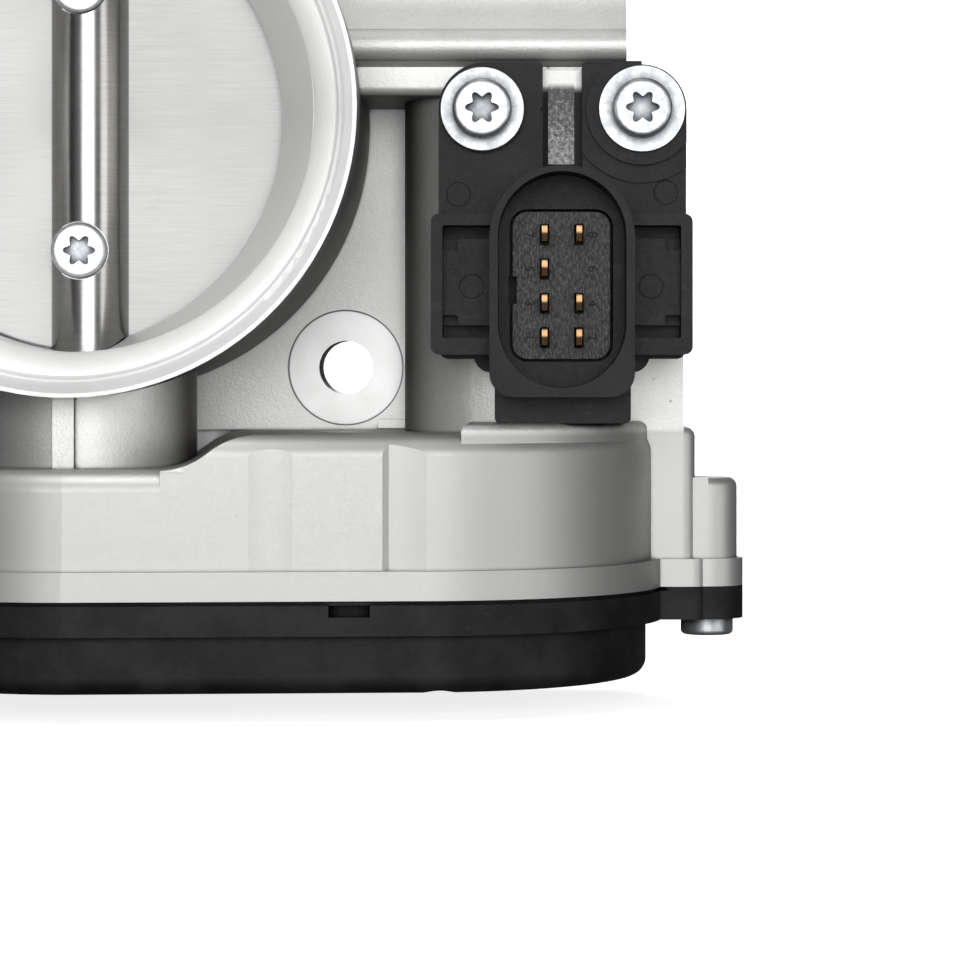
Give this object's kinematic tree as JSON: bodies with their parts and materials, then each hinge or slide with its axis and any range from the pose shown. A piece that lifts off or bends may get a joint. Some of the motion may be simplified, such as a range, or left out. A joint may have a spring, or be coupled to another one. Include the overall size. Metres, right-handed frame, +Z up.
{
  "type": "electronic throttle body",
  "caption": "Cast throttle body with a butterfly plate on an upright shaft, a gear case with its motor beside the bore, and a plug socket on the front",
  "frame": {"origin": "centre of the manifold flange's rear face, on the bore axis", "axes": "+X from the bore towards the motor, +Y downstream along the bore and out of the flange face, +Z up along the throttle shaft"},
  "size_m": [0.1459, 0.0655, 0.137],
  "materials": {
    "cast_aluminium": "fine grained casting",
    "plate_aluminium": "turned and brushed",
    "steel": "ground and polished",
    "zinc_steel": "zinc plated",
    "bearing_steel": "ground",
    "seal_rubber": "matte",
    "gear_plastic": "natural moulded nylon",
    "spring_steel": "drawn wire",
    "motor_steel": "plated can",
    "brass": "cut brass",
    "black_plastic": "matte moulded",
    "magnet": "sintered",
    "board_green": "solder resist"
  },
  "bodies": {
    "housing": {"throttle_housing": "cast_aluminium", "lower_ball_bearing": "bearing_steel", "upper_needle_bearing": "bearing_steel", "shaft_seal": "seal_rubber", "upper_bearing_cap": "zinc_steel", "return_spring": "spring_steel", "intermediate_gear_pin": "steel", "drive_motor": "motor_steel", "motor_screws": "zinc_steel", "gear_cover": "black_plastic", "cover_gasket": "seal_rubber", "cover_screws": "zinc_steel", "sensor_board": "board_green", "motor_terminals": "brass", "motor_wave_spring": "spring_steel", "stop_screw": "zinc_steel", "connector_housing": "black_plastic", "connector_pins": "brass", "connector_sleeves": "zinc_steel", "connector_screws": "zinc_steel", "connector_seal": "seal_rubber"},
    "throttle": {"throttle_shaft": "steel", "throttle_plate": "plate_aluminium", "plate_screws": "zinc_steel", "sector_gear": "gear_plastic", "sensor_magnet": "magnet"},
    "idler": {"intermediate_gear": "gear_plastic"},
    "rotor": {"motor_shaft": "steel", "motor_pinion": "brass"}
  },
  "joints": [
    {"name": "throttle_turn", "type": "hinge", "parent": "housing", "child": "throttle", "pos_m": [0, -0.033, 0], "axis": [0, 0, 1], "range_deg": [-5, 82], "stiffness_Nm_per_rad": 0.05},
    {"name": "idler_turn", "type": "hinge", "parent": "housing", "child": "idler", "pos_m": [0.032, -0.03272, 0], "axis": [0, 0, 1], "range_deg": [-360, 30]},
    {"name": "motor_turn", "type": "hinge", "parent": "housing", "child": "rotor", "pos_m": [0.064, -0.022, 0], "axis": [0, 0, 1], "range_deg": [-65, 985]}
  ],
  "couplings": [
    {"joint": "idler_turn", "follows": "throttle_turn", "ratio": -4.3333},
    {"joint": "motor_turn", "follows": "throttle_turn", "ratio": 11.917}
  ]
}
